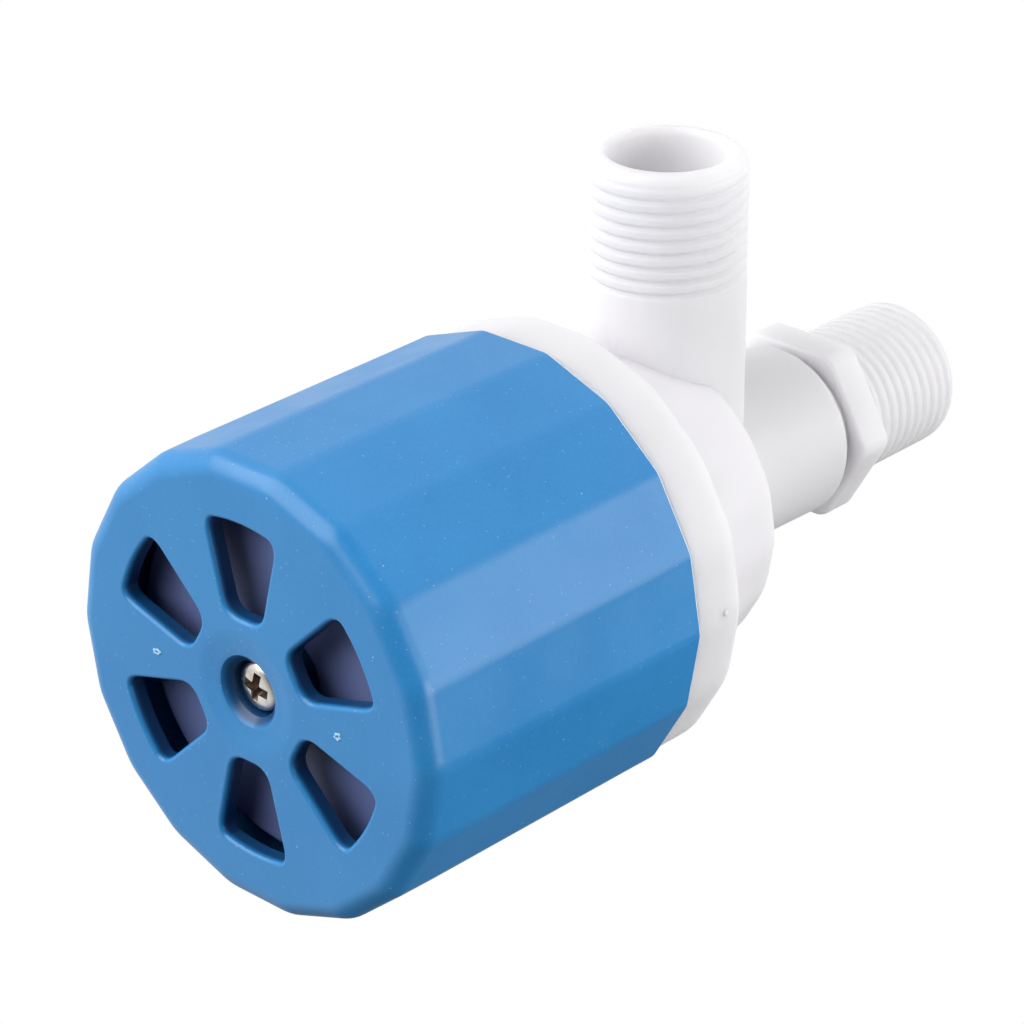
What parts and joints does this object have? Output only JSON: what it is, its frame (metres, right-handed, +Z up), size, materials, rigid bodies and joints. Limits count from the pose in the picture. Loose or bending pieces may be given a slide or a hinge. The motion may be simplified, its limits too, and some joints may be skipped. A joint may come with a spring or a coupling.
{
  "type": "float valve",
  "caption": "Water level float valve: white threaded body with a side outlet, over a faceted blue cup with wedge windows that holds a float, a pilot lever and a diaphragm valve.",
  "frame": {"origin": "on the common axis, at the level of the top shoulder of the inlet hexagon, where the valve hangs from its pipe", "axes": "+Z up along the common axis in the working position, towards the inlet end; +X towards the side outlet"},
  "size_m": [0.0777, 0.0614, 0.1276],
  "materials": {
    "blue_plastic": "satin moulded",
    "white_plastic": "semi-gloss moulded",
    "float_plastic": "matte moulded",
    "rubber": "matte",
    "stainless": "bright rolled"
  },
  "bodies": {
    "valve": {"valve_body": "white_plastic", "seat_tube": "white_plastic", "inlet_nipple": "white_plastic", "nipple_ring": "rubber", "nipple_gasket": "white_plastic", "inlet_strainer": "stainless", "valve_cover": "white_plastic", "cover_screw_1": "stainless", "cover_screw_2": "stainless", "cover_screw_3": "stainless", "cover_screw_4": "stainless", "cover_screw_5": "stainless", "cover_screw_6": "stainless", "lever_pin": "stainless", "guide_post": "white_plastic", "cup_housing": "blue_plastic", "cup_screw": "stainless", "diaphragm": "rubber", "main_spring": "stainless"},
    "float": {"float_shell": "float_plastic", "float_lid": "float_plastic", "float_pin": "stainless"},
    "lever": {"pilot_lever": "white_plastic", "pilot_seal": "rubber"},
    "plunger": {"plunger_plate": "white_plastic", "seal_disc": "rubber", "plunger_cap": "white_plastic"}
  },
  "joints": [
    {"name": "float_rise", "type": "slide", "parent": "valve", "child": "float", "axis": [0, 0, 1], "range_m": [0, 0.01]},
    {"name": "lever_swing", "type": "hinge", "parent": "valve", "child": "lever", "pos_m": [-0.012, 0.009, -0.0647], "axis": [0, -1, 0], "range_deg": [0, 26.6]},
    {"name": "plunger_open", "type": "slide", "parent": "valve", "child": "plunger", "axis": [0, 0, -1], "range_m": [0, 0.002], "stiffness_N_per_m": 250, "springref_m": -0.004, "deforming": ["main_spring", "diaphragm"]}
  ],
  "couplings": [
    {"joint": "lever_swing", "follows": "float_rise", "rad_per_m": 46.365}
  ]
}
